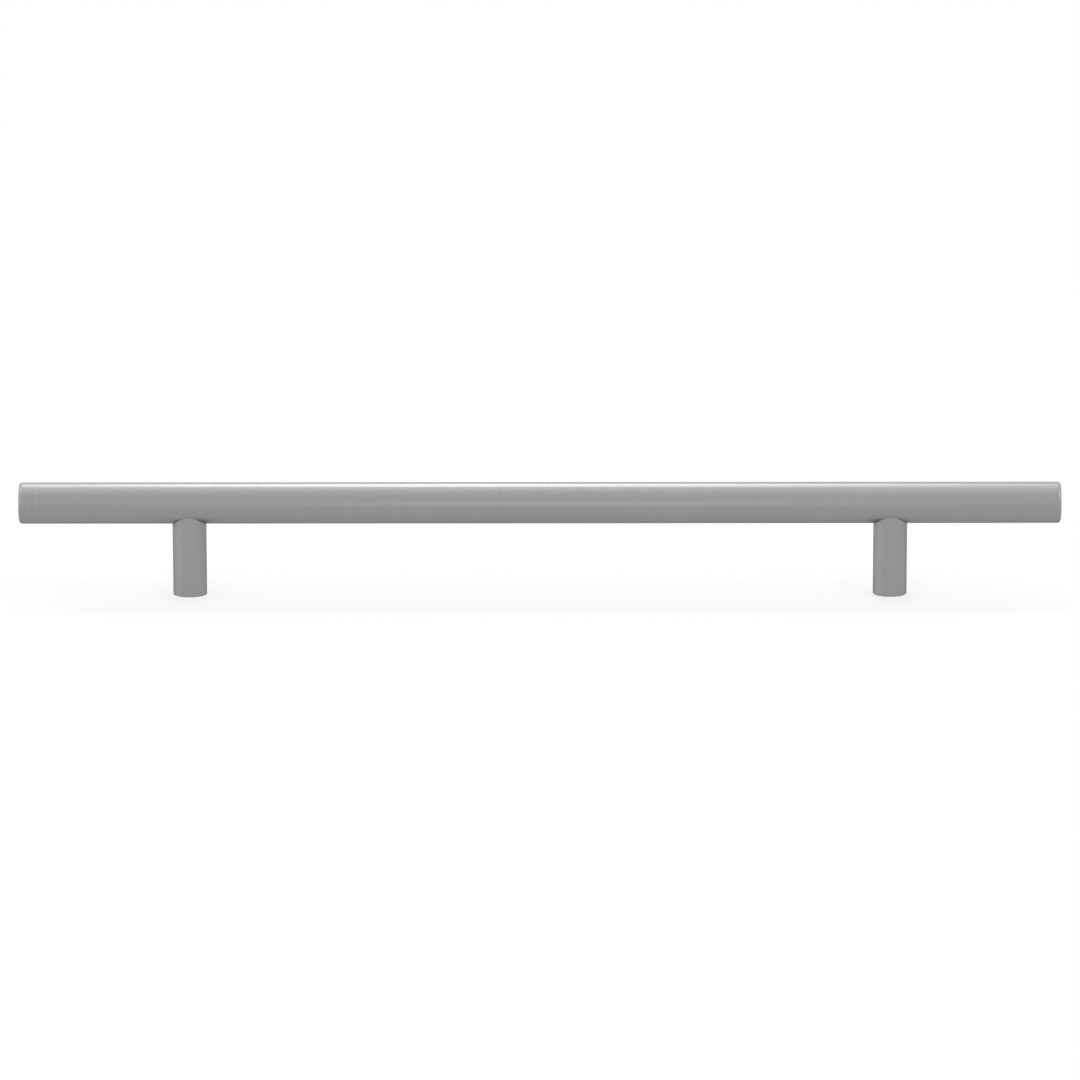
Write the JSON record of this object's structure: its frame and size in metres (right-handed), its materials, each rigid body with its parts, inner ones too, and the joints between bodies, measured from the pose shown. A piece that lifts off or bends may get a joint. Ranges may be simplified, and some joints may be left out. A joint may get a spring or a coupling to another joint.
{
  "type": "cabinet pull",
  "caption": "Round bar pull on turned posts coped to the bar, with tapped feet for screws from behind a drawer or cabinet front.",
  "frame": {"origin": "midway between the two tapped mounting holes, in the plane of the feet, which is the face of the drawer front", "axes": "+X along the bar to the right, +Z out of the drawer front from the feet to the bar, +Y across the bar"},
  "size_m": [0.3016, 0.012, 0.033],
  "materials": {
    "satin_metal": "satin",
    "stud_steel": "satin"
  },
  "bodies": {
    "root": {"bar": "satin_metal", "post_left": "satin_metal", "post_right": "satin_metal", "stud_left": "stud_steel", "stud_right": "stud_steel"}
  },
  "joints": []
}
